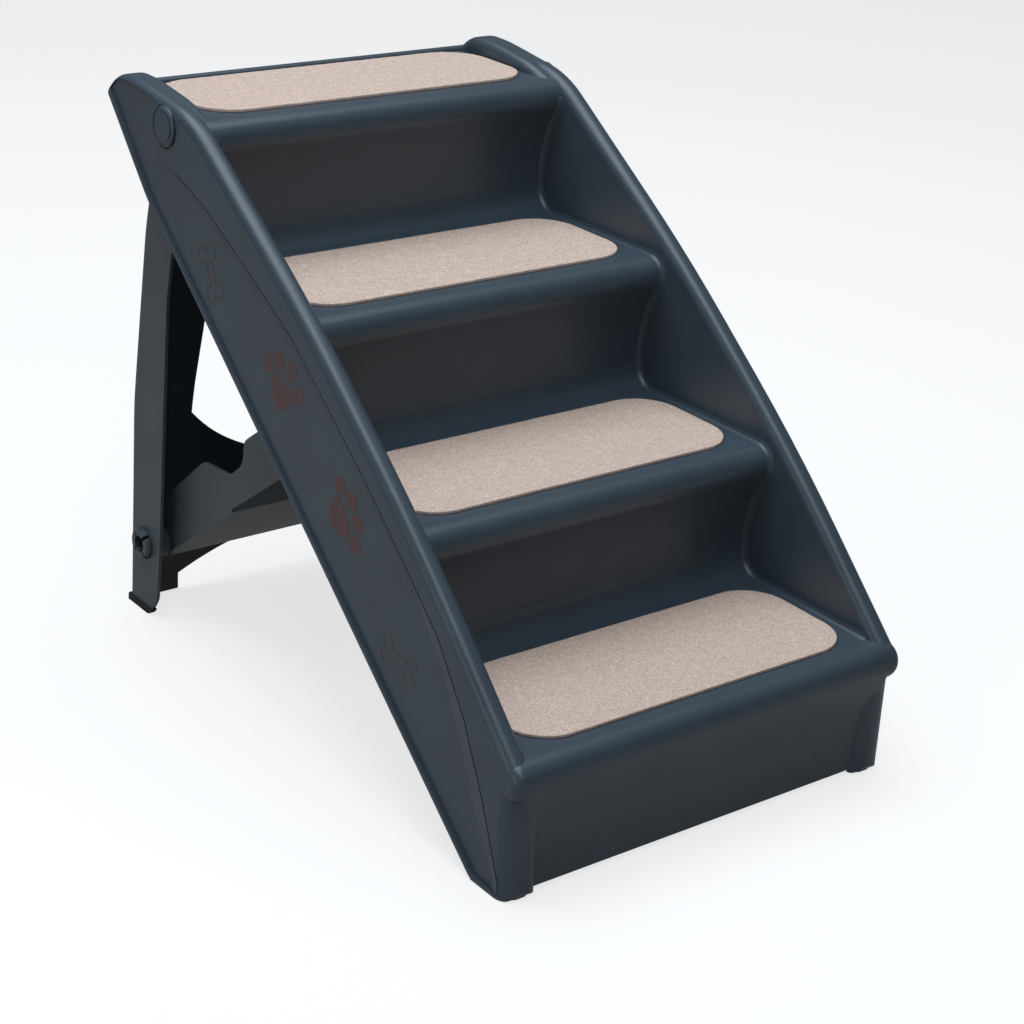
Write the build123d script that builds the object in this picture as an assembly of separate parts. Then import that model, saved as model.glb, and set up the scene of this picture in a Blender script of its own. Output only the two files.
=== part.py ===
from build123d import *
import os
from math import atan, cos, pi, radians, sin

os.makedirs("parts", exist_ok=True)

# Folding pet stairs in moulded plastic, in millimetres. X is the width, Y runs from the front step to
# the rear, Z is up, and the origin is on the floor at the middle of the stairs.

# Overall size
overall_width = 400.0
overall_depth = 620.0
overall_height = 500.0

# Steps
tread_count = 4
first_tread_height = 118.0
rim_rise = 16.5
deck_depth = 151.4
nose_radius = 16.0
riser_setback = 22.0
base_radius = 24.0
riser_flat = 8.0
panel_setback = 14.0
panel_hem = 20.0
panel_floor_gap = 5.0

# Moulded shell
skin = 3.0
side_skin = 5.0
rim_width = 19.0
rim_radius = 8.5
rim_skin = 4.5
cove_radius = 4.0
band_step = 3.0
bead_width = 3.5
seam_groove_width = 1.2
seam_groove_depth = 1.0
bar_end_radius = 9.0
panel_end_radius = 6.0
column_width = 33.0
column_inner_radius = 14.0
column_outer_radius = 16.0
column_room_radius = 11.0
deck_lip_depth = 14.0
deck_lip_width = 8.0
deck_lip_rise = 4.0
shoulder_width = 9.0
shoulder_edge_radius = 8.0
floor_gap = 1.0
ledge_height = 4.0
cut_overrun = 40.0
edge_tolerance = 0.1

# Hinge at the top, one on each side
hinge_setback = 103.0
hinge_drop = 27.0
hinge_pin_radius = 5.0
hinge_head_radius = 17.0
hinge_head_thickness = 4.0
hinge_head_bevel = 1.4
hinge_coin_radius = 12.5
hinge_coin_depth = 0.6
hinge_recess_depth = 1.5
hinge_recess_gap = 1.6
hinge_boss_radius = 14.0
hinge_ear_radius = 16.0
hinge_clip_width = 1.9
hinge_clip_radius = 7.0
hinge_clip_gap = 0.2
hinge_pin_tail = 0.6

# Clearances of the turning fits
running_gap = 0.05
side_gap = 0.2
washer_bore_gap = 0.3
washer_land = 7.0
washer_thickness = 1.6

# Leg frame
leg_skin = 3.0
arm_inset = 11.0
leg_eye_radius = 15.0
leg_edge_radius = 4.5
leg_top_drop = 47.0
window_top_drop = 81.0
window_top_half_width = 110.0
window_bottom_half_width = 127.0
window_bottom_height = 180.0
window_sill_height = 121.0
arch_half_width = 138.0
arch_side_height = 17.0
arch_crown_height = 49.0
slot_gap = 4.0
slot_bottom_height = 66.0
slot_top_height = 156.0

# Brace between the leg and the shell
pivot_height = 69.0
pivot_setback = 38.0
brace_slope = 36.4
brace_reach = 274.0
brace_depth = 45.0
brace_skin = 3.0
flange_gap = 10.0
hub_wall = 4.0
brace_pin_radius = 12.0
brace_pin_bore_radius = 8.0
brace_pin_head_radius = 16.0
brace_pin_head_thickness = 2.2
brace_pin_lip_radius = 15.0
brace_pin_lip_length = 3.0
brace_pin_end_gap = 0.4
brace_pin_slit_depth = 9.0
brace_pin_tip_radius = 13.2
brace_pin_slit = 3.0
thrust_washer_thickness = 1.0
catch_pin_radius = 3.5
catch_pin_end_gap = 1.5
hook_wall = 3.2
hook_gap = 0.3
hook_side_gap = 1.5
hook_from = 20.0
hook_to = 200.0
catch_ear_radius = 6.5
catch_ear_height = 55.0
catch_ear_depth = 8.0

# Tread mats and the adhesive film under them
mat_thickness = 2.5
mat_corner_radius = 38.0
mat_side_margin = 12.2
mat_front_margin = 25.4
mat_rear_margin = 6.0
mat_deck_margin = 12.9
film_thickness = 0.4
film_margin = 3.0

# Rubber feet
foot_length = 34.0
foot_width = 21.0
foot_corner_radius = 8.0
foot_edge_gap = 2.0
shoe_wall = 1.2
shoe_height = 7.0

# Places that follow from the sizes above
half_width = overall_width / 2
front = -overall_depth / 2
rear = overall_depth / 2
head_proud = hinge_head_thickness - hinge_recess_depth
shell_half = half_width - head_proud
wall_inner = shell_half - rim_width
cavity_inner = wall_inner + skin
cavity_outer = shell_half - side_skin
deck_height = overall_height - rim_rise
step_rise = (deck_height - first_tread_height) / (tread_count - 1)
step_run = (overall_depth - deck_depth) / (tread_count - 1)
hinge = (rear - hinge_setback, overall_height - hinge_drop)
pivot = (rear - pivot_setback, pivot_height)
arm_outer = shell_half - arm_inset
arm_inner = arm_outer - leg_skin
flange_outer = wall_inner - flange_gap
flange_inner = flange_outer - brace_skin
column_inner = shell_half - column_width
leg_top_height = hinge[1] - leg_top_drop
window_top_height = hinge[1] - window_top_drop
brace_plane = Plane(
    origin=(0, pivot[0], pivot[1]),
    x_dir=(0, -cos(radians(brace_slope)), sin(radians(brace_slope))),
    z_dir=(-1, 0, 0),
)
hub_end = arm_inner - thrust_washer_thickness - 2 * side_gap

# Outline of a side wall as shares of the overall depth and height, from the rear top corner forwards,
# down the front and back along the floor and the rear edge, with each corner's radius as a share of
# the overall height
wall_shares = [
    (0.5, 0.968, 0.0),
    (0.473, 1.0, 0.08),
    (0.42, 1.0, 0.5),
    (0.274, 0.977, 0.22),
    (-0.016, 0.74, 3.0),
    (-0.276, 0.484, 3.0),
    (-0.461, 0.26, 0.016),
    (-0.4887, 0.226, 0.012),
    (-0.4887, 0.0, 0.016),
    (-0.416, 0.0, 0.03),
    (0.3855, 0.808, 0.2),
]
front_corner = 8
blank_drop = 30.0
wall_front = wall_shares[front_corner][0] * overall_depth

# Top line of the broad rim beside the deck, as shares of the overall depth and height, from the rear
# forwards to where it dips under the nosing, with each corner's radius as a share of the overall height
shoulder_shares = [
    (0.5, 0.968, 0.0),
    (0.473, 1.0, 0.08),
    (0.42, 1.0, 0.5),
    (0.33, 0.98582, 0.3),
    (0.262, 0.9585, 0.0),
]

# Place on a cove's arc where it is divided
cove_middle_share = 0.293

# The step in the side wall between its front band and its rear panel, and the foot of its bevel
seam_shares = [
    (0.363, 1.06),
    (0.366, 0.964),
    (0.363, 0.912),
    (0.342, 0.888),
    (0.302, 0.874),
    (0.235, 0.846),
    (0.134, 0.784),
    (0.010, 0.702),
    (-0.155, 0.548),
    (-0.247, 0.452),
    (-0.327, 0.364),
    (-0.387, 0.262),
    (-0.431, 0.152),
    (-0.470, 0.03),
]
bevel_shares = [
    (0.357, 1.06),
    (0.360, 0.964),
    (0.357, 0.917),
    (0.338, 0.896),
    (0.300, 0.865),
    (0.234, 0.836),
    (0.132, 0.773),
    (0.008, 0.690),
    (-0.157, 0.532),
    (-0.250, 0.430),
    (-0.331, 0.316),
    (-0.366, 0.236),
    (-0.401, 0.148),
    (-0.446, 0.03),
]

# Outline of a leg arm as shares of the overall depth and height, from the hinge down the front edge
arm_shares = [
    (0.310, 0.950, 0.0),
    (0.365, 0.632, 0.4),
    (0.376, 0.444, 0.4),
    (0.394, 0.126, 0.3),
    (0.402, 0.04, 0.04),
    (0.424, 0.0, 0.02),
    (0.4855, 0.0, 0.0),
    (0.484, 0.02, 0.0),
    (0.469, 0.406, 0.6),
    (0.421, 0.794, 0.6),
    (0.361, 0.956, 0.0),
]
rear_corner = 6

# Outline of a brace flange as shares of its reach and depth, measured from the pivot along the brace
# and square to it, with each corner's radius as a share of the depth
brace_shares = [
    (-0.058, -0.333, 0.18),
    (-0.058, 0.267, 0.22),
    (0.036, 0.56, 0.15),
    (0.094, 0.70, 0.25),
    (0.453, 0.85, 0.4),
    (0.594, 0.32, 0.4),
    (0.694, 0.35, 0.45),
    (0.748, 0.73, 0.3),
    (0.896, 0.73, 0.2),
    (0.942, 0.27, 0.12),
    (0.992, 0.25, 0.1),
    (1.0, -0.09, 0.09),
    (0.945, -0.267, 0.12),
    (0.540, -0.267, 0.1),
    (0.530, -0.333, 0.0),
]
web_crease_share = 0.53
web_top_reach_share = 0.82
web_top_depth_share = 0.70
catch_reach_share = 0.975
catch_depth_share = 0.09
catch = brace_plane.from_local_coords((catch_reach_share * brace_reach, catch_depth_share * brace_depth, 0))


def mirrored(shape):
    """The same shape on the other side of the stairs."""
    return mirror(shape, about=Plane.YZ)


def side_face(points, radii):
    """A face in the side view, from corner points and their radii."""
    return make_face(Plane.YZ * FilletPolyline(*points, radius=radii, close=True))


def side_prism(face, low, high):
    """A side-view face made solid between two places along the width."""
    return Pos(low, 0, 0) * extrude(face, amount=high - low, dir=(1, 0, 0))


def side_disc(centre, radius, low, high):
    """A round bar along the width about a centre given in the side view."""
    face = Plane.YZ * Pos(centre[0], centre[1]) * Circle(radius)
    return side_prism(face, low, high)


def side_box(y_low, y_high, z_low, z_high, x_low, x_high):
    """A box given by its limits."""
    middle = Pos((x_low + x_high) / 2, (y_low + y_high) / 2, (z_low + z_high) / 2)
    return middle * Box(x_high - x_low, y_high - y_low, z_high - z_low)


def shared(shares):
    """Side-view points from shares of the overall depth and height."""
    return [(share[0] * overall_depth, share[1] * overall_height) for share in shares]


def raised(points):
    """The same points, with those on the floor lifted by the moulding's gap to it."""
    return [(y, max(z, floor_gap)) for y, z in points]


def wall_outline():
    """The side wall as seen from the side."""
    radii = [share[2] * overall_height for share in wall_shares]
    return side_face(raised(shared(wall_shares)), radii)


def wall_trim():
    """The field left of the wall's blank: cut along the floor and the rear edge, and open above."""
    points = raised(shared(wall_shares))
    radii = [share[2] * overall_height for share in wall_shares]
    ahead = wall_front - cut_overrun
    above = overall_height + cut_overrun
    corners = [(rear, above), (ahead, above), (ahead, floor_gap)] + points[front_corner + 1 :] + [points[0]]
    return side_face(corners, [0, 0, 0] + radii[front_corner + 1 :] + [0])


def wall_blank():
    """The side wall's outline with sharp ends below the floor and at the rear, for rounding its rim."""
    points = shared(wall_shares)
    radii = [share[2] * overall_height for share in wall_shares]
    for corner in range(front_corner, len(points)):
        radii[corner] = 0
        if points[corner][1] == 0:
            points[corner] = (points[corner][0], -blank_drop)
    return side_face(points, radii)


def on_rim(edge):
    """Whether an edge of the blank wall lies along its top or front."""
    foot = shared(wall_shares)[front_corner + 1]
    kink = shared(wall_shares)[front_corner + 2]
    slope = (kink[1] - foot[1]) / (kink[0] - foot[0])
    place = edge.center()
    upright = abs(edge.bounding_box().size.X) < edge_tolerance
    return upright and place.Z - (foot[1] + slope * (place.Y - foot[0])) > blank_drop - rim_skin


def side_wall():
    """One side wall, solid, with its rim rounded."""
    blank = side_prism(wall_blank(), wall_inner, shell_half)
    rounded = fillet([edge for edge in blank.edges() if on_rim(edge)], rim_radius)
    return rounded & side_prism(wall_trim(), wall_inner - skin, shell_half + skin)


def shoulder():
    """The broad rim beside the deck, and the hollow inside it."""
    line = shared(shoulder_shares)
    under = deck_height - 2 * nose_radius
    outline = side_face(
        [(rear, under)] + line + [(line[-1][0], under)],
        [0] + [share[2] * overall_height for share in shoulder_shares] + [0],
    )
    low = wall_inner - shoulder_width
    body = side_prism(outline, low, shell_half - rim_radius)
    top_edges = [
        edge
        for edge in body.edges()
        if abs(edge.center().X - low) < edge_tolerance
        and edge.bounding_box().size.X < edge_tolerance
        and edge.bounding_box().size.Y > edge_tolerance
        and edge.bounding_box().min.Z > under + edge_tolerance
    ]
    body = fillet(top_edges, shoulder_edge_radius)
    body = body & side_box(front, rear, deck_height - skin, overall_height, 0, half_width)
    room = side_prism(offset(outline, amount=-rim_skin), low + skin, cavity_inner)
    limits = side_box(front, rear - skin, deck_height, overall_height, 0, half_width)
    return body, room & limits


def riser_lines(nose_y, top, low, setback, inset):
    """Edges round a nosing and down its riser to the height where the riser is upright."""
    drop = top - nose_radius - low
    lean = 2 * atan(setback / drop)
    hollow = drop / sin(lean) - nose_radius
    nose = Vector(nose_y + nose_radius, top - nose_radius)
    heart = nose - Vector(cos(lean), sin(lean)) * (nose_radius + hollow)
    bend = (pi / 2 + pi + lean) / 2

    def on_nose(angle):
        return nose + Vector(cos(angle), sin(angle)) * (nose_radius - inset)

    def on_hollow(angle):
        return heart + Vector(cos(angle), sin(angle)) * (hollow + inset)

    return [
        ThreePointArc(on_nose(pi / 2), on_nose(bend), on_nose(pi + lean)),
        ThreePointArc(on_hollow(lean), on_hollow(lean / 2), on_hollow(0)),
    ]


def stair_line(inset, back):
    """The steps' line from the rear of the deck down to the front panel, moved in by a distance."""
    edges = []
    here = Vector(back, deck_height - inset)
    for step in reversed(range(tread_count)):
        nose_y = front + step * step_run
        top = first_tread_height + step * step_rise
        below = top - step_rise
        setback = riser_setback if step else panel_setback
        low = below + base_radius + riser_flat if step else panel_hem
        curve = riser_lines(nose_y, top, low, setback, inset)
        edges.append(Line(here, curve[0] @ 0))
        edges.extend(curve)
        here = curve[-1] @ 1
        if step:
            heart = Vector(nose_y + setback - base_radius, below + base_radius)
            radius = base_radius + inset
            points = [heart + Vector(cos(a), -sin(a)) * radius for a in (0, pi / 4, pi / 2)]
            edges.append(Line(here, points[0]))
            edges.append(ThreePointArc(*points))
            here = points[-1]
    return edges, here


def stair_face(inset, back, bottom):
    """The steps in side view, moved in by a distance, back to one place and down to another."""
    edges, here = stair_line(inset, back)
    corners = [here, Vector(here.X, bottom), Vector(back, bottom), edges[0] @ 0]
    edges.extend(Line(a, b) for a, b in zip(corners, corners[1:]))
    return make_face([Plane.YZ * edge for edge in edges])


def coves():
    """The narrow coves where the steps meet the inner face of one side wall."""
    middle = cove_middle_share * cove_radius
    strips = []
    places = [(wall_inner - cove_radius, 0), (wall_inner - middle, -middle), (wall_inner, -cove_radius)]
    for (low, low_inset), (high, high_inset) in zip(places, places[1:]):
        faces = [
            Pos(low, 0, 0) * stair_face(low_inset, rear, panel_floor_gap),
            Pos(high, 0, 0) * stair_face(high_inset, rear, panel_floor_gap),
        ]
        strips.append(loft(faces, ruled=True))
    field = side_prism(offset(wall_outline(), amount=-rim_radius), wall_inner - cove_radius, wall_inner)
    return (strips[0] + strips[1]) & field


def front_panel():
    """The curved front under the lowest nosing, with its ends rounded into the columns."""
    edges = riser_lines(front, first_tread_height, panel_hem, panel_setback, 0)
    start = edges[0] @ 0
    end = edges[-1] @ 1
    back = start.X + nose_radius
    corners = [end, Vector(back, end.Y), Vector(back, start.Y), start]
    edges = edges + [Line(a, b) for a, b in zip(corners, corners[1:])]
    half = cavity_inner + panel_end_radius
    panel = side_prism(make_face([Plane.YZ * edge for edge in edges]), -half, half)
    ends = [
        edge
        for edge in panel.edges()
        if edge.geom_type == GeomType.CIRCLE and edge.bounding_box().size.X < edge_tolerance
    ]
    return fillet(ends, panel_end_radius)


def round_bar(step, end_radius):
    """A round bar in a step's nosing, right across the shell, with rounded ends."""
    heart = (front + step * step_run + nose_radius, first_tread_height + step * step_rise - nose_radius)
    bar = side_disc(heart, nose_radius, -shell_half, shell_half)
    ends = [edge for edge in bar.edges() if edge.bounding_box().size.X < edge_tolerance]
    return fillet(ends, end_radius)


def column():
    """The upright column at one front corner."""
    back = shared(wall_shares)[front_corner + 1][0]
    top = first_tread_height - nose_radius
    body = side_box(wall_front, back, floor_gap, top, column_inner, shell_half)
    inner_edges = [
        edge
        for edge in body.edges()
        if edge.center().X < column_inner + edge_tolerance
        and edge.center().Y < wall_front + column_inner_radius
        and edge.bounding_box().size.X < edge_tolerance
        and edge.bounding_box().max.Z < top + floor_gap
        and edge.bounding_box().size.Z > floor_gap
    ]
    return fillet(inner_edges, column_inner_radius)


def column_corner():
    """What is cut from a column's outer front corner to round it, up to the nosing's middle."""
    top = first_tread_height - nose_radius
    start = shell_half - column_outer_radius
    back = wall_front + column_outer_radius
    block = side_box(front - skin, back, -cut_overrun, top, start, half_width)
    return block - Pos(start, back, 0) * Cylinder(column_outer_radius, 2 * overall_height)


def column_foot():
    """What is cut from a column's lower front edge to round it."""
    radius = wall_shares[front_corner][2] * overall_height
    heart = (wall_front + radius, floor_gap + radius)
    block = side_box(front - skin, heart[0], -cut_overrun, heart[1], column_inner - skin, half_width)
    return block - side_disc(heart, radius, column_inner - skin, half_width)


def column_room():
    """The limits of all room inside a side wall and its column, rounded behind the column's corners."""
    room = side_box(
        wall_front + skin, rear + cut_overrun, -cut_overrun, overall_height, column_inner + skin, cavity_outer
    )
    corners = [
        edge
        for edge in room.edges()
        if edge.center().Y < wall_front + skin + edge_tolerance
        and edge.bounding_box().size.Z > overall_height
    ]
    return fillet(corners, column_room_radius)


def zone_behind(shares, place):
    """The face behind a seam line, at a place along the width."""
    seam = shared(shares)
    far = rear + cut_overrun
    corners = seam + [(seam[-1][0], -cut_overrun), (far, -cut_overrun), (far, seam[0][1])]
    return Pos(place, 0, 0) * make_face(Plane.YZ * Polyline(*corners, close=True))


def rear_recess():
    """The sunk rear panel of a side wall, behind a bevel and a fine groove, inside the rear bead."""
    bevel = loft(
        [zone_behind(bevel_shares, shell_half - band_step), zone_behind(seam_shares, shell_half)], ruled=True
    )
    behind = zone_behind(seam_shares, 0)
    cap = side_prism(behind, shell_half, half_width)
    half = seam_groove_width / 2
    line = Pos(0, -half, half) * behind - Pos(0, half, -half) * behind
    groove = side_prism(line, shell_half - seam_groove_depth, half_width)
    field = side_prism(offset(wall_outline(), amount=-bead_width), cavity_outer, half_width)
    return field & (bevel + cap + groove)


def catch_ear():
    """The ear that holds a catch pin, reaching back from behind the third riser."""
    riser_back = front + (tread_count - 2) * step_run + riser_setback + skin
    low = first_tread_height + (tread_count - 3) * step_rise
    root = Line((riser_back - skin, low + catch_ear_height), (riser_back - catch_ear_depth, low + skin))
    ring = Pos(catch.Y, catch.Z) * Circle(catch_ear_radius)
    outline = make_hull(ring.edges() + [root])
    return side_prism(Plane.YZ * outline, wall_inner, cavity_inner)


def shell_fittings():
    """Ears, bosses and the foot ledge inside one side of the shell."""
    ledge = column_room() & side_box(
        wall_front + skin,
        wall_front + skin + foot_length + foot_edge_gap * 2,
        ledge_height,
        ledge_height + skin,
        column_inner + skin,
        cavity_outer,
    )
    return [
        side_disc(hinge, hinge_boss_radius, arm_outer + washer_thickness + 2 * side_gap, cavity_outer),
        side_disc(hinge, hinge_ear_radius, wall_inner, cavity_inner),
        catch_ear(),
        ledge,
    ]


def deck_lip():
    """The rounded bead along the deck's rear edge and the lip that hangs below it."""
    radius = deck_lip_width / 2
    heart = (rear - radius, deck_height + deck_lip_rise - radius)
    bead = side_disc(heart, radius, -cavity_inner, cavity_inner)
    foot = side_box(rear - deck_lip_width, rear, deck_height - skin, heart[1], -cavity_inner, cavity_inner)
    low = deck_height - deck_lip_depth
    hanging = side_box(rear - skin, rear, low, deck_height, -cavity_inner, cavity_inner)
    return bead + foot + hanging


def stair_shell():
    """The one-piece moulded shell."""
    wall = side_wall()
    steps = side_prism(stair_face(0, rear, panel_floor_gap), -cavity_inner, cavity_inner)
    rim, rim_room = shoulder()
    solid = steps + front_panel() + round_bar(0, bar_end_radius) + round_bar(tread_count - 1, rim_radius)
    for piece in (wall - column_corner(), rim, coves(), column() - column_corner()):
        solid = solid + piece + mirrored(piece)
    underside = stair_face(skin, rear + cut_overrun, -cut_overrun)
    limits = column_room()
    column_top = first_tread_height - nose_radius - riser_flat
    column_back = front + panel_setback + 2 * skin
    rooms = [
        side_prism(underside, column_inner, cavity_outer) & limits,
        side_prism(offset(wall_outline(), amount=-rim_skin), cavity_inner, cavity_outer) & limits,
        side_box(wall_front, column_back, -cut_overrun, column_top, column_inner, cavity_outer) & limits,
        rim_room,
        column_foot(),
    ]
    web = side_box(front, wall_front + skin, -cut_overrun, first_tread_height, wall_inner, cavity_inner)
    shell = solid - (side_prism(underside, -cavity_inner, cavity_inner) - web - mirrored(web))
    for room in rooms:
        shell = shell - room - mirrored(room)
    shell = shell + deck_lip()
    for fitting in shell_fittings():
        shell = shell + fitting + mirrored(fitting)
    cuts = [
        rear_recess(),
        side_disc(hinge, hinge_head_radius + hinge_recess_gap, shell_half - hinge_recess_depth, half_width),
        side_disc(hinge, hinge_pin_radius + running_gap, wall_inner - skin, half_width),
        side_disc((catch.Y, catch.Z), catch_pin_radius + running_gap, wall_inner - skin, arm_inner),
    ]
    for cut in cuts:
        shell = shell - cut - mirrored(cut)
    return shell


def leg_blank(inner):
    """The arm outline in side view, or the room inside it in front of the rear web."""
    points = shared(arm_shares)
    radii = [share[2] * overall_height for share in arm_shares]
    if inner:
        points = [(y - leg_skin, z) for y, z in points]
        points[rear_corner] = (points[rear_corner][0], -cut_overrun)
        points = points[rear_corner:] + [(front, overall_height), (front, -cut_overrun)]
        radii = radii[rear_corner:] + [0, 0]
        radii[0] = 0
    else:
        points = raised(points)
    return side_face(points, radii)


def rear_cut(edges):
    """A cut through the rear web from edges drawn in the front view."""
    face = make_face([Plane.XZ * edge for edge in edges])
    return Pos(0, hinge[0], 0) * extrude(face, amount=overall_depth, dir=(0, 1, 0))


def window_cut():
    """The large window in the rear web, with a sagging sill."""
    top = (window_top_half_width, window_top_height)
    foot = (window_bottom_half_width, window_bottom_height)
    sill = (0, window_sill_height)
    edges = [
        Line((-foot[0], foot[1]), (-top[0], top[1])),
        Line((-top[0], top[1]), top),
        Line(top, foot),
        ThreePointArc(foot, sill, (-foot[0], foot[1])),
    ]
    return rear_cut(edges)


def arch_cut():
    """The arch between the two feet of the leg frame."""
    low = -cut_overrun
    edges = [
        Line((-arch_half_width, low), (-arch_half_width, arch_side_height)),
        ThreePointArc(
            (-arch_half_width, arch_side_height), (0, arch_crown_height), (arch_half_width, arch_side_height)
        ),
        Line((arch_half_width, arch_side_height), (arch_half_width, low)),
        Line((arch_half_width, low), (-arch_half_width, low)),
    ]
    return rear_cut(edges)


def leg_frame():
    """The U-shaped rear leg: two arms joined by a web along their rear edge."""
    outline = leg_blank(False) + Plane.YZ * Pos(hinge[0], hinge[1]) * Circle(leg_eye_radius)
    blank = side_prism(outline, -arm_outer, arm_outer)
    rear_edges = [
        edge
        for edge in blank.edges()
        if edge.bounding_box().size.X < edge_tolerance
        and edge.center().Y > pivot[0] + leg_eye_radius - leg_skin
        and edge.bounding_box().size.Z > pivot_height / 2
    ]
    leg = fillet(rear_edges, leg_edge_radius) if rear_edges else blank
    leg = leg - side_prism(leg_blank(True), -arm_inner, arm_inner)
    leg = leg - side_box(0, rear, leg_top_height, overall_height, -arm_inner, arm_inner)
    leg = leg - window_cut() - arch_cut()
    slot = side_box(
        pivot[0], rear, slot_bottom_height, slot_top_height, flange_inner - slot_gap, flange_outer + slot_gap
    )
    bores = [
        side_disc(hinge, hinge_pin_radius + running_gap, arm_inner - leg_skin, half_width),
        side_disc(pivot, brace_pin_radius + running_gap, arm_inner - leg_skin, half_width),
    ]
    for cut in [slot] + bores:
        leg = leg - cut - mirrored(cut)
    return leg


def brace_points(shares):
    """Points on a brace flange from shares of its reach and depth."""
    return [(share[0] * brace_reach, share[1] * brace_depth) for share in shares]


def hook():
    """The open hook on the outside of a flange that drops over the catch pin."""
    inner = catch_pin_radius + hook_gap
    outer = inner + hook_wall
    corners = [(0, 0)]
    for turn in (hook_from, (3 * hook_from + hook_to) / 4, (hook_from + 3 * hook_to) / 4, hook_to):
        corners.append((2 * outer * cos(radians(turn)), 2 * outer * sin(radians(turn))))
    sector = make_face(Polyline(*corners, close=True))
    ring = (Circle(outer) - Circle(inner)) & sector
    face = Plane.YZ * Pos(catch.Y, catch.Z) * ring
    return side_prism(face, flange_outer, wall_inner - hook_side_gap)


def brace():
    """The folding brace: two flanges joined by a web, with hubs at the pivot and hooks at the tip."""
    points = brace_points(brace_shares)
    radii = [share[2] * brace_depth for share in brace_shares]
    outline = make_face(brace_plane * FilletPolyline(*points, radius=radii, close=True))
    flange = side_prism(outline, flange_inner, flange_outer)
    low = points[0][1]
    crease = web_crease_share * brace_reach
    top = (web_top_reach_share * brace_reach, web_top_depth_share * brace_depth)
    start = points[0][0] + brace_skin
    web_points = [
        (start, low),
        (crease, low),
        (top[0] + brace_skin, top[1]),
        (top[0] - brace_skin / 2, top[1]),
        (crease - brace_skin / 2, low + brace_skin),
        (start, low + brace_skin),
    ]
    web = side_prism(make_face(brace_plane * Polyline(*web_points, close=True)), -flange_inner, flange_inner)
    body = web
    for part in (flange, side_disc(pivot, brace_pin_radius + hub_wall, flange_outer, hub_end), hook()):
        body = body + part + mirrored(part)
    bore = side_disc(pivot, brace_pin_radius + running_gap, flange_inner - brace_skin, arm_outer)
    head_radius = brace_pin_head_radius + side_gap
    notch = side_disc(pivot, head_radius, flange_inner - brace_pin_head_thickness - side_gap, flange_inner)
    return body - bore - mirrored(bore) - notch - mirrored(notch)


def washer(centre, bore, radius, low, thickness):
    """A flat washer round an axle, starting at a place along the width."""
    return side_disc(centre, radius, low, low + thickness) - side_disc(
        centre, bore, low - thickness, low + 2 * thickness
    )


def hinge_pin():
    """The headed pin that the leg arm turns on."""
    head = side_disc(hinge, hinge_head_radius, half_width - hinge_head_thickness, half_width)
    rim = [edge for edge in head.edges() if edge.center().X > half_width - edge_tolerance]
    head = chamfer(rim, hinge_head_bevel)
    ring_radius = hinge_head_radius - hinge_head_bevel
    ring = side_disc(hinge, ring_radius, half_width - hinge_coin_depth, half_width + skin)
    coin = side_disc(hinge, hinge_coin_radius, half_width - skin, half_width)
    head = head - (ring - coin)
    tail = wall_inner - hinge_clip_gap - hinge_clip_width - hinge_pin_tail
    return head + side_disc(hinge, hinge_pin_radius, tail, half_width - hinge_head_thickness)


def hinge_washers():
    """The two washers on a hinge pin, inside and outside the leg arm."""
    bore = hinge_pin_radius + washer_bore_gap
    radius = hinge_pin_radius + washer_land
    lows = (arm_inner - side_gap - washer_thickness, arm_outer + side_gap)
    return Compound([washer(hinge, bore, radius, low, washer_thickness) for low in lows])


def hinge_clip():
    """The ring that keeps a hinge pin in."""
    low = wall_inner - hinge_clip_gap - hinge_clip_width
    return washer(hinge, hinge_pin_radius + running_gap, hinge_clip_radius, low, hinge_clip_width)


def brace_pin():
    """The hollow split pin between the brace and a leg arm."""
    lip_low = arm_outer + side_gap
    lip_high = lip_low + brace_pin_lip_length
    end = cavity_outer - brace_pin_end_gap
    head_low = flange_inner - brace_pin_head_thickness
    body = side_disc(pivot, brace_pin_head_radius, head_low, flange_inner)
    body = body + side_disc(pivot, brace_pin_radius, flange_inner, lip_low)
    lip = side_disc(pivot, brace_pin_lip_radius, lip_low, end)
    rim = [edge for edge in lip.edges() if edge.center().X > end - edge_tolerance]
    body = body + chamfer(rim, end - lip_high, brace_pin_lip_radius - brace_pin_tip_radius)
    body = body - side_disc(pivot, brace_pin_bore_radius, head_low - running_gap, end + running_gap)
    for turn in (0, 90):
        slit = side_box(
            -brace_pin_slit / 2,
            brace_pin_slit / 2,
            -brace_pin_head_radius,
            brace_pin_head_radius,
            end - brace_pin_slit_depth,
            end + brace_pin_slit,
        )
        body = body - Pos(0, pivot[0], pivot[1]) * Rot(turn + 45, 0, 0) * slit
    return body


def brace_washer():
    """The thrust washer between a brace hub and its leg arm."""
    bore = brace_pin_radius + running_gap * 2
    return washer(pivot, bore, brace_pin_radius + hub_wall, hub_end + side_gap, thrust_washer_thickness)


def catch_pin():
    """The short pin that the brace hooks onto."""
    low = flange_outer + catch_pin_end_gap
    high = cavity_inner + catch_pin_end_gap / 3
    return side_disc((catch.Y, catch.Z), catch_pin_radius, low, high)


def front_foot():
    """The rubber pad under a front column, with rounded corners."""
    x_low = cavity_outer - foot_edge_gap - foot_width
    y_low = wall_front + skin + foot_edge_gap
    face = RectangleRounded(foot_width, foot_length, foot_corner_radius)
    return extrude(Pos(x_low + foot_width / 2, y_low + foot_length / 2, 0) * face, amount=ledge_height)


def rear_foot(leg):
    """The rubber shoe that wraps the end of a leg arm."""
    zone = side_box(pivot[0] / 2, rear, 0, shoe_height, 0, half_width)
    outline = offset(leg_blank(False), amount=shoe_wall)
    shoe = side_prism(outline, arm_inner - shoe_wall, arm_outer + shoe_wall) & zone
    return shoe - leg


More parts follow.
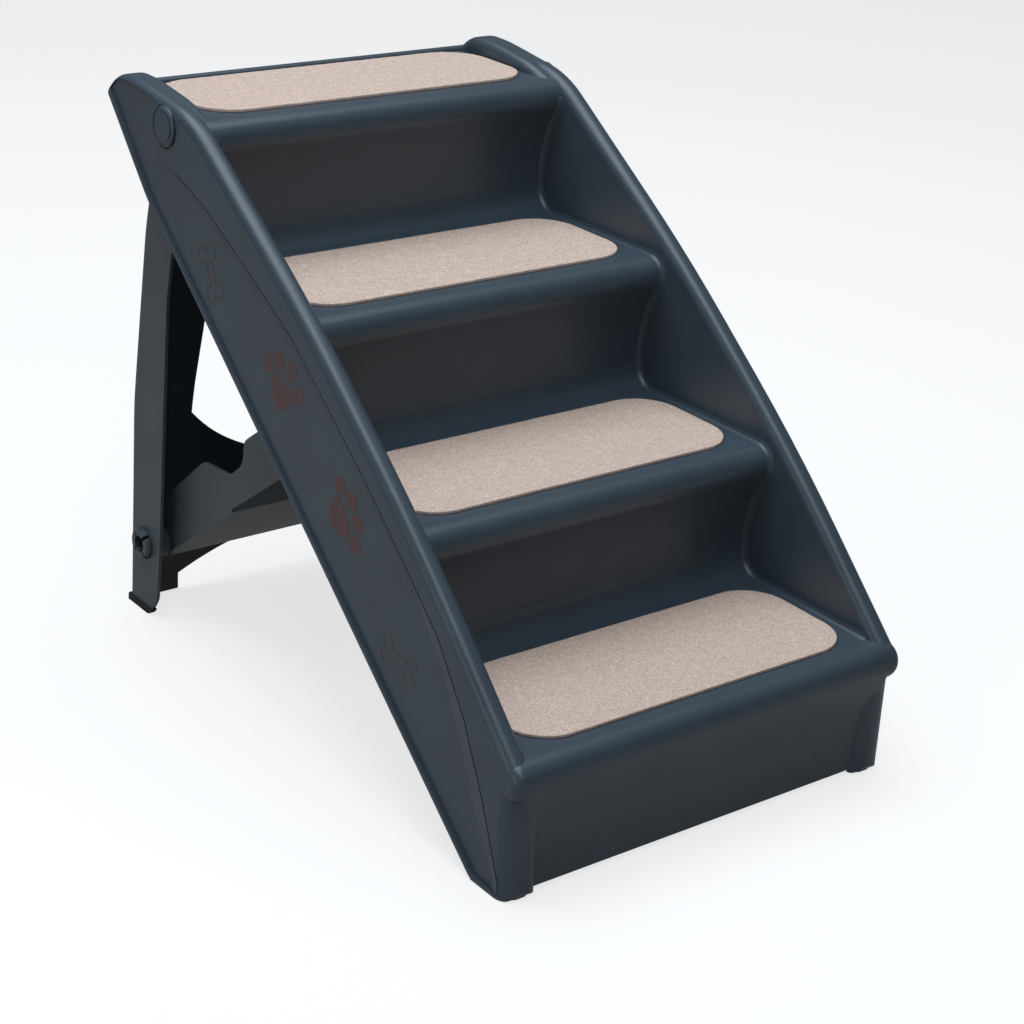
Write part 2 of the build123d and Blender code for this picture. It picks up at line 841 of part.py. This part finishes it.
def mat_face(step, margin):
    """The outline of a tread mat, drawn in by a margin all round."""
    start = front + step * step_run + mat_front_margin
    end = front + (step + 1) * step_run - mat_rear_margin
    if step == tread_count - 1:
        end = rear - mat_deck_margin
    width = 2 * (wall_inner - mat_side_margin - margin)
    depth = end - start - 2 * margin
    radius = mat_corner_radius - margin
    top = first_tread_height + step * step_rise
    return Pos(0, (start + end) / 2, top) * RectangleRounded(width, depth, radius)


leg = leg_frame()
parts = {"stair_shell": stair_shell(), "leg_frame": leg, "brace": brace()}
for step in range(tread_count):
    film = extrude(mat_face(step, film_margin), amount=film_thickness)
    mat = Pos(0, 0, film_thickness) * extrude(mat_face(step, 0), amount=mat_thickness)
    parts[f"mat_adhesive_{step + 1}"] = film
    parts[f"tread_mat_{step + 1}"] = mat

sided = {
    "hinge_pin": hinge_pin(),
    "hinge_washers": hinge_washers(),
    "hinge_clip": hinge_clip(),
    "brace_pin": brace_pin(),
    "brace_washer": brace_washer(),
    "catch_pin": catch_pin(),
    "front_foot": front_foot(),
    "rear_foot": rear_foot(leg),
}
for name, shape in sided.items():
    parts[f"{name}_right"] = shape
    parts[f"{name}_left"] = mirrored(shape)

for name, shape in parts.items():
    export_step(shape, f"parts/{name}.step")
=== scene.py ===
"""Folding pet stairs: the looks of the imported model, laid out as an add-on with one operator for each
group of pieces and one for the stage."""

from math import asin, cos, pi, radians, sin

import bpy
from mathutils import Matrix, Vector


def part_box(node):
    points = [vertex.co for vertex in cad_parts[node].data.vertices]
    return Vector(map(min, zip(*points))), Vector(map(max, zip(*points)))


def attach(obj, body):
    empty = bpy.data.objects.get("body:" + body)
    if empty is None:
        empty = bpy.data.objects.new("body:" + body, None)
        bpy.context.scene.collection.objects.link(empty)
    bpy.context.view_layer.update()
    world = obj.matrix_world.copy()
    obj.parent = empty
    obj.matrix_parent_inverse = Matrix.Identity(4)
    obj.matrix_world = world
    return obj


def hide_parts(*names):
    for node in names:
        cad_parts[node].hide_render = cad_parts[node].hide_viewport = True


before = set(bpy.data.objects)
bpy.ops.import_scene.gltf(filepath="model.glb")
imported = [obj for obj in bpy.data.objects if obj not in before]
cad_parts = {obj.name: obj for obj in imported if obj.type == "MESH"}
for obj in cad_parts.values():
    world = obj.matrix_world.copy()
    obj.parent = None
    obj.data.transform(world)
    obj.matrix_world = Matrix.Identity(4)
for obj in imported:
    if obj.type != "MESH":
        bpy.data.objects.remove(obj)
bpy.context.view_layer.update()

bl_info = {
    "name": "Folding pet stairs",
    "version": (1, 0, 0),
    "blender": (4, 5, 0),
    "location": "View3D > Sidebar > Pet stairs",
    "description": "Dresses the folding pet stairs with felt mats, prints and moulded plastic",
    "category": "Object",
}

# Sizes in metres and angles in degrees

MAT_CORNER = 0.038
MAT_GRID = (150, 56)
FELT_LUMP = 0.004
FELT_FIBRE = 0.0008
FELT_BLOTCH = 0.006
COOLING_WAVE = 0.045
INK_WEAR = 0.004
RUBBER_DUST = 0.003
TURNING_MARK = 0.0006
ADHESIVE_CLOUD = 0.01

PANEL_DEPTH = 0.003
PAW_PAD = (0.0135, 0.016)
PAW_TOE = (0.0085, 0.0080)
TOE_REACH = 0.0272
TOE_ANGLES = (-61, -19, 21, 59)
BONE_LOBE_PLACE = (0.0165, 0.0072)
BONE_LOBE = 0.0078
BONE_SHAFT = 0.0052
BONE_WAIST = 0.004
BONE_LINE = 0.0021

FLOOR_SIZE = 14
CAMERA_PLACE = (-1.09758, -1.43337, 0.95433)
CAMERA_YAW, CAMERA_PITCH, CAMERA_ROLL = 38.064, 23.648, -3.255
CAMERA_SENSOR, CAMERA_LENS = 36, 80.71


def linear(hex_colour):
    """An sRGB hex colour as linear red, green, blue and alpha."""
    channels = [int(hex_colour[i:i + 2], 16) / 255 for i in (1, 3, 5)]
    return [c / 12.92 if c <= 0.04045 else ((c + 0.055) / 1.055) ** 2.4 for c in channels] + [1]


class PetStairsSizes(bpy.types.PropertyGroup):
    """Sizes of the mats, the prints and the plastic's grain."""

    mat_relief: bpy.props.FloatProperty(
        name="Felt relief", description="Height of the felt's uneven surface", default=0.0005, unit="LENGTH"
    )
    mat_edge: bpy.props.FloatProperty(
        name="Felt edge", description="Rounding along the top edge of a mat", default=0.0007, unit="LENGTH"
    )
    print_height: bpy.props.FloatProperty(
        name="Print height", description="How far a print stands on the wall", default=0.00015, unit="LENGTH"
    )
    grain: bpy.props.FloatProperty(
        name="Plastic grain", description="Size of the fine texture on the plastic", default=0.0009,
        unit="LENGTH",
    )


class PetStairsColours(bpy.types.PropertyGroup):
    """Colours of the plastic, the felt and the prints."""

    shell: bpy.props.FloatVectorProperty(
        name="Shell", description="Slate plastic of the stairs", size=4, subtype="COLOR",
        default=linear("#3b4752"),
    )
    leg: bpy.props.FloatVectorProperty(
        name="Frame", description="Plastic of the leg frame and brace", size=4, subtype="COLOR",
        default=linear("#484f55"),
    )
    felt: bpy.props.FloatVectorProperty(
        name="Felt", description="Ground colour of the felt", size=4, subtype="COLOR",
        default=linear("#dcc3b5"),
    )
    ink: bpy.props.FloatVectorProperty(
        name="Print", description="Faded ink of the prints", size=4, subtype="COLOR",
        default=linear("#6a433d"),
    )


def sizes():
    return bpy.context.scene.pet_stairs_sizes


def colours():
    return bpy.context.scene.pet_stairs_colours


# Materials

def node(tree, kind, values=None, links=None, **settings):
    """Adds a node with its settings, input values and links, each link as input name to output socket."""
    made = tree.nodes.new(kind)
    for key, value in settings.items():
        setattr(made, key, value)
    for key, value in (values or {}).items():
        made.inputs[key].default_value = value
    for key, value in (links or {}).items():
        tree.links.new(value, made.inputs[key])
    return made


def start_material(name, **values):
    """A new material with its shader's uniform values set on the shader's own sockets."""
    material = bpy.data.materials.new(name)
    material.use_nodes = True
    tree = material.node_tree
    shader = tree.nodes["Principled BSDF"]
    for key, value in values.items():
        shader.inputs[key.replace("_", " ")].default_value = value
    place = node(tree, "ShaderNodeTexCoord")
    return material, tree, shader, place.outputs["Object"]


def moulded_plastic(name, colour, roughness, wave=0.00012):
    """Moulded plastic: satin, with an etched grain and the slow unevenness of a wall that cooled against
    one mould only. The grain is drawn coarser than a real etch, so that it shows."""
    material, tree, shader, place = start_material(name, Roughness=roughness, IOR=1.5)
    grain = node(tree, "ShaderNodeTexNoise", {"Scale": 1 / sizes().grain, "Detail": 3.0, "Roughness": 0.6},
                 {"Vector": place})
    slow = node(tree, "ShaderNodeTexNoise", {"Scale": 1 / COOLING_WAVE, "Detail": 2.0}, {"Vector": place})
    tone = node(tree, "ShaderNodeMapRange",
                {"From Min": 0.3, "From Max": 0.7, "To Min": 0.93, "To Max": 1.06},
                {"Value": slow.outputs["Fac"]})
    tint = node(tree, "ShaderNodeVectorMath", {0: list(colour)[:3]}, {"Scale": tone.outputs["Result"]},
                operation="SCALE")
    tree.links.new(tint.outputs["Vector"], shader.inputs["Base Color"])
    shine = node(tree, "ShaderNodeMapRange",
                 {"From Min": 0.3, "From Max": 0.7, "To Min": roughness - 0.03, "To Max": roughness + 0.05},
                 {"Value": grain.outputs["Fac"]})
    tree.links.new(shine.outputs["Result"], shader.inputs["Roughness"])
    swell = node(tree, "ShaderNodeBump", {"Strength": 0.25, "Distance": wave},
                 {"Height": slow.outputs["Fac"]})
    bump = node(tree, "ShaderNodeBump", {"Strength": 0.22, "Distance": 0.00006},
                {"Height": grain.outputs["Fac"], "Normal": swell.outputs["Normal"]})
    tree.links.new(bump.outputs["Normal"], shader.inputs["Normal"])
    return material


def needle_felt():
    """Needle-punched polyester felt: matt, heathered from pale and brown fibres that lie every way. The
    fibres are drawn coarser than real ones, so that they show."""
    material, tree, shader, place = start_material(
        "needle_felt_beige", Roughness=0.95, Sheen_Weight=0.25, Sheen_Roughness=0.5, Specular_IOR_Level=0.15
    )
    shader.inputs["Sheen Tint"].default_value = linear("#e9ddd2")
    fibres = []
    for turn in (15, 75, 135):
        laid = node(tree, "ShaderNodeMapping", {"Rotation": (0, 0, radians(turn)), "Scale": (3.0, 1.0, 1.0)},
                    {"Vector": place}, vector_type="TEXTURE")
        fibres.append(node(tree, "ShaderNodeTexNoise",
                           {"Scale": 1 / FELT_FIBRE, "Detail": 2.0, "Distortion": 0.6},
                           {"Vector": laid.outputs["Vector"]}))
    pair = node(tree, "ShaderNodeMath", None,
                {0: fibres[0].outputs["Fac"], 1: fibres[1].outputs["Fac"]}, operation="MAXIMUM")
    web = node(tree, "ShaderNodeMath", None, {0: pair.outputs[0], 1: fibres[2].outputs["Fac"]},
               operation="MAXIMUM")
    blotch = node(tree, "ShaderNodeTexNoise", {"Scale": 1 / FELT_BLOTCH, "Detail": 4.0, "Roughness": 0.7},
                  {"Vector": place})
    ramp = node(tree, "ShaderNodeValToRGB", None, {"Fac": web.outputs[0]})
    ground = Vector(list(colours().felt)[:3])
    ramp.color_ramp.elements[0].position = 0.50
    ramp.color_ramp.elements[0].color = [*(ground * 0.66), 1]
    ramp.color_ramp.elements[1].position = 0.74
    ramp.color_ramp.elements[1].color = [*(ground * 1.20), 1]
    tone = node(tree, "ShaderNodeMapRange",
                {"From Min": 0.3, "From Max": 0.7, "To Min": 0.90, "To Max": 1.09},
                {"Value": blotch.outputs["Fac"]})
    tint = node(tree, "ShaderNodeVectorMath", None,
                {0: ramp.outputs["Color"], "Scale": tone.outputs["Result"]}, operation="SCALE")
    tree.links.new(tint.outputs["Vector"], shader.inputs["Base Color"])
    bump = node(tree, "ShaderNodeBump", {"Strength": 0.7, "Distance": 0.0005}, {"Height": web.outputs[0]})
    tree.links.new(bump.outputs["Normal"], shader.inputs["Normal"])
    return material


def faded_ink(name, cover):
    """Screen ink on polyethylene: thin, matt and worn, so that the plastic shows through in spots."""
    material, tree, shader, place = start_material(name, Roughness=0.55, IOR=1.5)
    worn = node(tree, "ShaderNodeTexNoise", {"Scale": 1 / INK_WEAR, "Detail": 4.0, "Roughness": 0.7},
                {"Vector": place})
    ramp = node(tree, "ShaderNodeValToRGB", None, {"Fac": worn.outputs["Fac"]})
    plastic, ink = Vector(colours().shell), Vector(colours().ink)
    ramp.color_ramp.elements[0].position = 0.25
    ramp.color_ramp.elements[0].color = plastic.lerp(ink, cover * 0.6)
    ramp.color_ramp.elements[1].position = 0.62
    ramp.color_ramp.elements[1].color = plastic.lerp(ink, cover)
    tree.links.new(ramp.outputs["Color"], shader.inputs["Base Color"])
    return material


def rubber():
    """Soft black rubber, matt with a dusty bloom."""
    material, tree, shader, place = start_material("black_rubber", Roughness=0.85)
    dust = node(tree, "ShaderNodeTexNoise", {"Scale": 1 / RUBBER_DUST, "Detail": 3.0}, {"Vector": place})
    ramp = node(tree, "ShaderNodeValToRGB", None, {"Fac": dust.outputs["Fac"]})
    ramp.color_ramp.elements[0].color = linear("#161718")
    ramp.color_ramp.elements[1].color = linear("#26282a")
    tree.links.new(ramp.outputs["Color"], shader.inputs["Base Color"])
    return material


def brushed_steel():
    """Zinc-plated spring steel with turning marks."""
    material, tree, shader, place = start_material("zinc_plated_steel", Metallic=1.0, Roughness=0.35)
    shader.inputs["Base Color"].default_value = linear("#b9bcc0")
    marks = node(tree, "ShaderNodeTexNoise", {"Scale": 1 / TURNING_MARK, "Detail": 2.0}, {"Vector": place})
    bump = node(tree, "ShaderNodeBump", {"Strength": 0.2, "Distance": 0.00003},
                {"Height": marks.outputs["Fac"]})
    tree.links.new(bump.outputs["Normal"], shader.inputs["Normal"])
    return material


def acrylic_adhesive():
    """Clear pressure-sensitive adhesive, a thin milky film."""
    material, tree, shader, place = start_material("acrylic_adhesive", Roughness=0.4)
    milk = node(tree, "ShaderNodeTexNoise", {"Scale": 1 / ADHESIVE_CLOUD, "Detail": 2.0}, {"Vector": place})
    ramp = node(tree, "ShaderNodeValToRGB", None, {"Fac": milk.outputs["Fac"]})
    ramp.color_ramp.elements[0].color = linear("#b7b0a4")
    ramp.color_ramp.elements[1].color = linear("#cfc9bd")
    tree.links.new(ramp.outputs["Color"], shader.inputs["Base Color"])
    return material


def dress(names, material):
    """Gives CAD nodes a material."""
    for name in names:
        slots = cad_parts[name].material_slots
        for slot in slots:
            slot.material = material


# Modelling helpers

def nothing_selected():
    if bpy.context.object and bpy.context.object.mode != "OBJECT":
        bpy.ops.object.mode_set(mode="OBJECT")
    bpy.ops.object.select_all(action="DESELECT")


def finished(piece, name, body, material):
    """Names a piece, fixes its place in its mesh and ties it to its body."""
    nothing_selected()
    piece.select_set(True)
    bpy.context.view_layer.objects.active = piece
    bpy.ops.object.transform_apply(location=True, rotation=True, scale=True)
    bpy.ops.object.shade_smooth_by_angle(angle=radians(35))
    piece.name = name
    piece.data.name = name
    piece.data.materials.clear()
    piece.data.materials.append(material)
    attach(piece, body)
    return piece


class PETSTAIRS_OT_mouldings(bpy.types.Operator):
    """Gives the moulded parts, pins, washers and feet their materials"""

    bl_idname = "petstairs.mouldings"
    bl_label = "Mouldings"

    def execute(self, context):
        dress(["stair_shell"], moulded_plastic("polyethylene_slate_satin", colours().shell, 0.36))
        dress(["leg_frame", "brace"], moulded_plastic("polypropylene_graphite_satin", colours().leg, 0.46))
        pins = ["hinge_pin_left", "hinge_pin_right", "brace_pin_left", "brace_pin_right"]
        dress(pins, moulded_plastic("nylon_slate_satin", colours().shell, 0.38, wave=0.00003))
        washers = ["hinge_washers_left", "hinge_washers_right", "brace_washer_left", "brace_washer_right"]
        dress(washers, moulded_plastic("nylon_black", linear("#1d1f21"), 0.45, wave=0.00003))
        dress(["hinge_clip_left", "hinge_clip_right", "catch_pin_left", "catch_pin_right"], brushed_steel())
        dress(["front_foot_left", "front_foot_right", "rear_foot_left", "rear_foot_right"], rubber())
        dress([f"mat_adhesive_{i}" for i in range(1, 5)], acrylic_adhesive())
        return {"FINISHED"}


class PETSTAIRS_OT_mats(bpy.types.Operator):
    """Makes the felt mats in place of the plain slabs"""

    bl_idname = "petstairs.mats"
    bl_label = "Felt mats"

    def execute(self, context):
        material = needle_felt()
        relief = bpy.data.textures.new("felt_relief", "CLOUDS")
        relief.noise_scale = FELT_LUMP
        relief.noise_depth = 3
        for number in range(1, 5):
            low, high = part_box(f"tread_mat_{number}")
            width, depth = high[0] - low[0], high[1] - low[1]
            thickness = high[2] - low[2]
            lift = sizes().mat_relief
            nothing_selected()
            bpy.ops.mesh.primitive_grid_add(
                x_subdivisions=MAT_GRID[0], y_subdivisions=MAT_GRID[1], size=1,
                location=((low[0] + high[0]) / 2, (low[1] + high[1]) / 2, low[2]),
            )
            mat = bpy.context.object
            mat.scale = (width, depth, 1)
            bpy.ops.object.transform_apply(location=False, rotation=False, scale=True)
            for point in mat.data.vertices:
                over = [abs(point.co[i]) - (size / 2 - MAT_CORNER) for i, size in ((0, width), (1, depth))]
                if min(over) > 0:
                    share = [value / MAT_CORNER for value in over]
                    pulled = (over[0] * (1 - share[1] ** 2 / 2) ** 0.5,
                              over[1] * (1 - share[0] ** 2 / 2) ** 0.5)
                    for i, size in ((0, width), (1, depth)):
                        side = 1 if point.co[i] > 0 else -1
                        point.co[i] = side * (size / 2 - MAT_CORNER + pulled[i])
            bpy.ops.object.mode_set(mode="EDIT")
            bpy.ops.mesh.select_all(action="SELECT")
            bpy.ops.mesh.extrude_region_move(TRANSFORM_OT_translate={"value": (0, 0, thickness - lift / 2)})
            bpy.ops.mesh.region_to_loop()
            bpy.ops.mesh.bevel(offset=sizes().mat_edge, segments=3, profile=0.6)
            bpy.ops.mesh.select_all(action="SELECT")
            bpy.ops.mesh.normals_make_consistent(inside=False)
            bpy.ops.object.mode_set(mode="OBJECT")
            bumps = mat.modifiers.new("relief", "DISPLACE")
            bumps.texture = relief
            bumps.texture_coords = "LOCAL"
            bumps.direction = "Z"
            bumps.strength = lift
            bumps.mid_level = 0.5
            top = mat.vertex_groups.new(name="top")
            top.add([p.index for p in mat.data.vertices if p.co.z > thickness * 0.7], 1.0, "REPLACE")
            bumps.vertex_group = "top"
            bpy.ops.object.modifier_apply(modifier="relief")
            finished(mat, f"felt_mat_{number}", "shell", material)
            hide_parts(f"tread_mat_{number}")
        return {"FINISHED"}


def printed(outline, line=None):
    """One closed shape of a print, drawn flat and given its ink's height, filled or as a line."""
    nothing_selected()
    bpy.ops.mesh.primitive_circle_add(vertices=len(outline), radius=1, fill_type="NGON")
    shape = bpy.context.object
    for vertex, (across, up) in zip(shape.data.vertices, outline):
        vertex.co = (across, up, 0)
    bpy.ops.object.mode_set(mode="EDIT")
    bpy.ops.mesh.select_all(action="SELECT")
    if line:
        bpy.ops.mesh.inset(thickness=line, depth=0)
        bpy.ops.mesh.delete(type="FACE")
        bpy.ops.mesh.select_all(action="SELECT")
    bpy.ops.mesh.extrude_region_move(TRANSFORM_OT_translate={"value": (0, 0, sizes().print_height)})
    bpy.ops.object.mode_set(mode="OBJECT")
    return shape


def oval(centre, turn, long, wide, lobes=0.0, count=40):
    """Points round an oval that points along turn, with three soft lobes if asked."""
    points = []
    for i in range(count):
        angle = 2 * pi * i / count
        swell = 1 + lobes * cos(3 * angle)
        along, aside = long * swell * cos(angle), wide * swell * sin(angle)
        points.append((centre[0] + along * cos(turn) - aside * sin(turn),
                       centre[1] + along * sin(turn) + aside * cos(turn)))
    return points


def paw_print(turn):
    """A filled paw print: a three-lobed pad and four toes."""
    shapes = [printed(oval((0, 0), turn, *PAW_PAD, lobes=-0.12))]
    for toe in TOE_ANGLES:
        angle = turn + radians(toe)
        centre = (TOE_REACH * cos(angle), TOE_REACH * sin(angle))
        shapes.append(printed(oval(centre, turn + radians(toe / 2), *PAW_TOE, count=28)))
    return shapes


def bone_print(turn):
    """A bone drawn as an outline, with two round lobes at each end."""
    middle, steps = BONE_LOBE_PLACE, 14
    notch, neck = asin(-middle[1] / BONE_LOBE), pi - asin((BONE_SHAFT - middle[1]) / BONE_LOBE)
    quarter = []
    for i in range(steps + 1):
        angle = notch + (neck - notch) * i / steps
        quarter.append((middle[0] + BONE_LOBE * cos(angle), middle[1] + BONE_LOBE * sin(angle)))
    quarter.append((BONE_WAIST, BONE_SHAFT))
    half = quarter + [(-x, y) for x, y in reversed(quarter[1:])] + [(-quarter[0][0], 0.0)]
    outline = half + [(x, -y) for x, y in reversed(half[1:-1])]
    turned = [(x * cos(turn) - y * sin(turn), x * sin(turn) + y * cos(turn)) for x, y in outline]
    return [printed(turned, line=BONE_LINE)]


class PETSTAIRS_OT_prints(bpy.types.Operator):
    """Lays the paw and bone prints on the rear panels of both side walls"""

    bl_idname = "petstairs.prints"
    bl_label = "Prints"

    def execute(self, context):
        strong, faint = faded_ink("screen_ink_red_brown", 0.8), faded_ink("screen_ink_worn_thin", 0.5)
        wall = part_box("stair_shell")[1][0] - PANEL_DEPTH
        places = (
            ("bone", 0.1365, 0.3673, -64.8, bone_print, faint),
            ("paw", 0.026, 0.299, 76, paw_print, strong),
            ("paw", -0.0615, 0.2242, 29.5, paw_print, strong),
            ("bone", -0.1492, 0.1388, -12, bone_print, faint),
        )
        for side, name in ((-1, "left"), (1, "right")):
            for number, (kind, y, z, turn, draw, ink) in enumerate(places, 1):
                shapes = draw(radians(turn))
                nothing_selected()
                for shape in shapes:
                    shape.select_set(True)
                bpy.context.view_layer.objects.active = shapes[0]
                if len(shapes) > 1:
                    bpy.ops.object.join()
                piece = bpy.context.object
                turned = Matrix(((0, 0, side), (-1, 0, 0), (0, 1, 0))).to_4x4()
                piece.matrix_world = Matrix.Translation((side * wall, y, z)) @ turned
                finished(piece, f"{kind}_print_{name}_{number}", "shell", ink)
                bpy.ops.object.mode_set(mode="EDIT")
                bpy.ops.mesh.select_all(action="SELECT")
                bpy.ops.mesh.normals_make_consistent(inside=False)
                bpy.ops.object.mode_set(mode="OBJECT")
        return {"FINISHED"}


class PETSTAIRS_OT_stage(bpy.types.Operator):
    """Sets up the floor, the camera at the photograph's angle and soft studio light"""

    bl_idname = "petstairs.stage"
    bl_label = "Stage"

    def execute(self, context):
        nothing_selected()
        bpy.ops.mesh.primitive_plane_add(size=FLOOR_SIZE, location=(0, 0, 0))
        floor = bpy.context.object
        floor.name = "floor"
        material, tree, shader, place = start_material("paper_floor", Roughness=0.9)
        shader.inputs["Base Color"].default_value = linear("#8c8d8e")
        out = tree.nodes["Material Output"]
        path = node(tree, "ShaderNodeLightPath")
        shine = node(tree, "ShaderNodeMath", {1: 0.25}, {0: path.outputs["Is Glossy Ray"]},
                     operation="MULTIPLY")
        seen = node(tree, "ShaderNodeMath", None,
                    {0: path.outputs["Is Camera Ray"], 1: shine.outputs[0]}, operation="MAXIMUM")
        white = node(tree, "ShaderNodeEmission", {"Color": (1, 1, 1, 1), "Strength": 0.74})
        both = node(tree, "ShaderNodeAddShader", None, {0: shader.outputs[0], 1: white.outputs[0]})
        pick = node(tree, "ShaderNodeMixShader", None,
                    {0: seen.outputs[0], 1: shader.outputs[0], 2: both.outputs[0]})
        tree.links.new(pick.outputs[0], out.inputs["Surface"])
        floor.data.materials.append(material)

        world = bpy.data.worlds.new("studio")
        context.scene.world = world
        world.use_nodes = True
        tree = world.node_tree
        back = tree.nodes["Background"]
        back.inputs["Color"].default_value = (1, 1, 1, 1)
        back.inputs["Strength"].default_value = 0.11
        plain = node(tree, "ShaderNodeBackground", {"Color": (1, 1, 1, 1), "Strength": 1.0})
        path = node(tree, "ShaderNodeLightPath")
        pick = node(tree, "ShaderNodeMixShader", None,
                    {0: path.outputs["Is Camera Ray"], 1: back.outputs[0], 2: plain.outputs[0]})
        tree.links.new(pick.outputs[0], tree.nodes["World Output"].inputs["Surface"])

        lamps = [
            ("top_softbox", (-0.2, 0.4, 2.7), (0, 0, 0.2), 2.4, 70, (0.84, 0.93, 1.0)),
            ("front_top_softbox", (-0.6, -1.4, 2.6), (0, 0, 0.2), 1.6, 18, (0.90, 0.96, 1.0)),
            ("left_softbox", (-2.3, -0.4, 0.35), (0, 0, 0.2), 1.4, 8, (1.0, 0.99, 0.98)),
        ]
        for name, spot, aim, size, power, tint in lamps:
            nothing_selected()
            bpy.ops.object.light_add(type="AREA", location=spot)
            lamp = bpy.context.object
            lamp.name = name
            lamp.data.size = size
            lamp.data.energy = power
            lamp.data.color = tint
            lamp.rotation_euler = (Vector(aim) - Vector(spot)).to_track_quat("-Z", "Y").to_euler()

        yaw, pitch, roll = radians(CAMERA_YAW), radians(CAMERA_PITCH), radians(CAMERA_ROLL)
        ahead = Vector((sin(yaw) * cos(pitch), cos(yaw) * cos(pitch), -sin(pitch)))
        right = Vector((cos(yaw), -sin(yaw), 0))
        down = ahead.cross(right)
        right, down = cos(roll) * right + sin(roll) * down, cos(roll) * down - sin(roll) * right
        bpy.ops.object.camera_add()
        camera = bpy.context.object
        camera.data.sensor_width = CAMERA_SENSOR
        camera.data.lens = CAMERA_LENS
        turn = Matrix((right, -down, -ahead)).transposed().to_4x4()
        camera.matrix_world = Matrix.Translation(CAMERA_PLACE) @ turn
        context.scene.camera = camera
        context.scene.view_settings.view_transform = "Standard"
        return {"FINISHED"}


class PETSTAIRS_PT_panel(bpy.types.Panel):
    """Shows a button for each step and the sizes and colours of the pet stairs"""

    bl_idname = "PETSTAIRS_PT_panel"
    bl_label = "Pet stairs"
    bl_space_type = "VIEW_3D"
    bl_region_type = "UI"
    bl_category = "Pet stairs"

    def draw(self, context):
        for step in STEPS:
            self.layout.operator(step.bl_idname)
        for group in (context.scene.pet_stairs_sizes, context.scene.pet_stairs_colours):
            for key in group.__annotations__:
                self.layout.prop(group, key)


STEPS = (PETSTAIRS_OT_mouldings, PETSTAIRS_OT_mats, PETSTAIRS_OT_prints, PETSTAIRS_OT_stage)
CLASSES = (PetStairsSizes, PetStairsColours, *STEPS, PETSTAIRS_PT_panel)


def register():
    for item in CLASSES:
        bpy.utils.register_class(item)
    bpy.types.Scene.pet_stairs_sizes = bpy.props.PointerProperty(type=PetStairsSizes)
    bpy.types.Scene.pet_stairs_colours = bpy.props.PointerProperty(type=PetStairsColours)


def unregister():
    del bpy.types.Scene.pet_stairs_sizes
    del bpy.types.Scene.pet_stairs_colours
    for item in reversed(CLASSES):
        bpy.utils.unregister_class(item)


def main():
    register()
    for step in STEPS:
        area, name = step.bl_idname.split(".")
        if getattr(getattr(bpy.ops, area), name)() != {"FINISHED"}:
            raise RuntimeError(f"{step.bl_label} did not finish")


if __name__ == "__main__":
    main()
